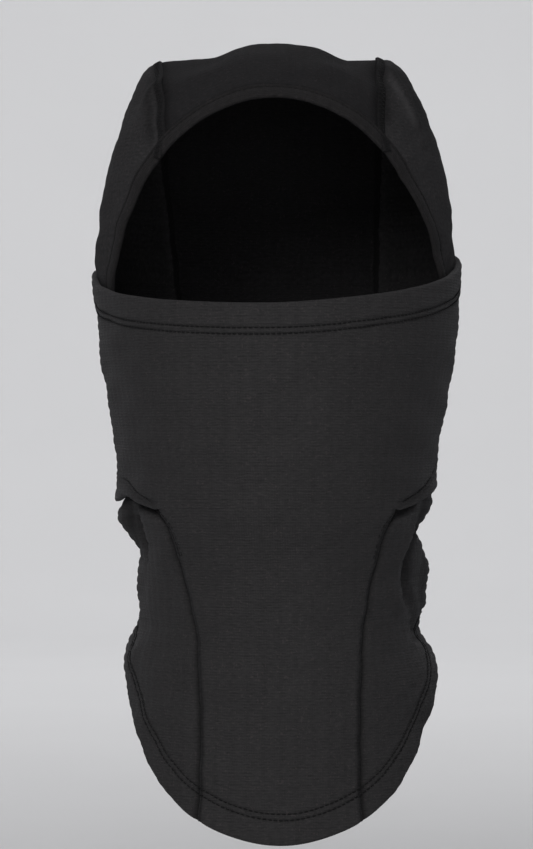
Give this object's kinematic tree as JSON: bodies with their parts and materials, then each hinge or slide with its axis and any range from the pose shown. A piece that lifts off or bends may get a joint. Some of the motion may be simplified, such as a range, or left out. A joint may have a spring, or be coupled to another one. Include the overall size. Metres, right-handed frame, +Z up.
{
  "type": "balaclava",
  "caption": "Balaclava sewn from dark grid fleece, with a hood, a long bib and neck, and a front mask that covers the nose and mouth or pulls down under the chin.",
  "frame": {"origin": "centre of the wearer's head, on the mirror plane, level with the widest part of the hood", "axes": "+Z up along the wearer's neck, -Y the way the wearer faces, +X the wearer's left"},
  "size_m": [0.1689, 0.2161, 0.3474],
  "materials": {
    "fleece": "matte grid-knit fleece, charcoal",
    "binding": "matte folded knit tape",
    "thread": "matte black sewing thread",
    "label": "plain white woven tape"
  },
  "bodies": {
    "hood": {"bib_panel": "fleece", "bib_seam_left": "thread", "bib_seam_right": "thread", "bottom_hem_back": "fleece", "bottom_hem_bib": "fleece", "bottom_hem_neck_left": "fleece", "bottom_hem_neck_right": "fleece", "bottom_stitching_lower": "thread", "bottom_stitching_upper": "thread", "care_label": "label", "crown_panel": "fleece", "crown_seam_left": "thread", "crown_seam_right": "thread", "face_binding": "binding", "face_binding_stitching": "thread", "hood_side_left": "fleece", "hood_side_right": "fleece", "nape_seam": "thread", "neck_back": "fleece", "neck_seam_left": "thread", "neck_seam_right": "thread", "neck_side_left": "fleece", "neck_side_right": "fleece", "wing_hem_left": "fleece", "wing_hem_right": "fleece", "wing_seam_left": "thread", "wing_seam_right": "thread", "wing_stitching_left_lower": "thread", "wing_stitching_left_upper": "thread", "wing_stitching_right_lower": "thread", "wing_stitching_right_upper": "thread"},
    "mask": {"mask_panel": "fleece", "mask_top_hem": "fleece", "mask_top_stitching_lower": "thread", "mask_top_stitching_upper": "thread"}
  },
  "joints": [
    {"name": "mask_pull_down", "type": "hinge", "parent": "hood", "child": "mask", "pos_m": [0, 0.03, -0.075], "axis": [1, 0, 0], "range_deg": [0, 35], "deforming": ["mask_panel"]}
  ]
}
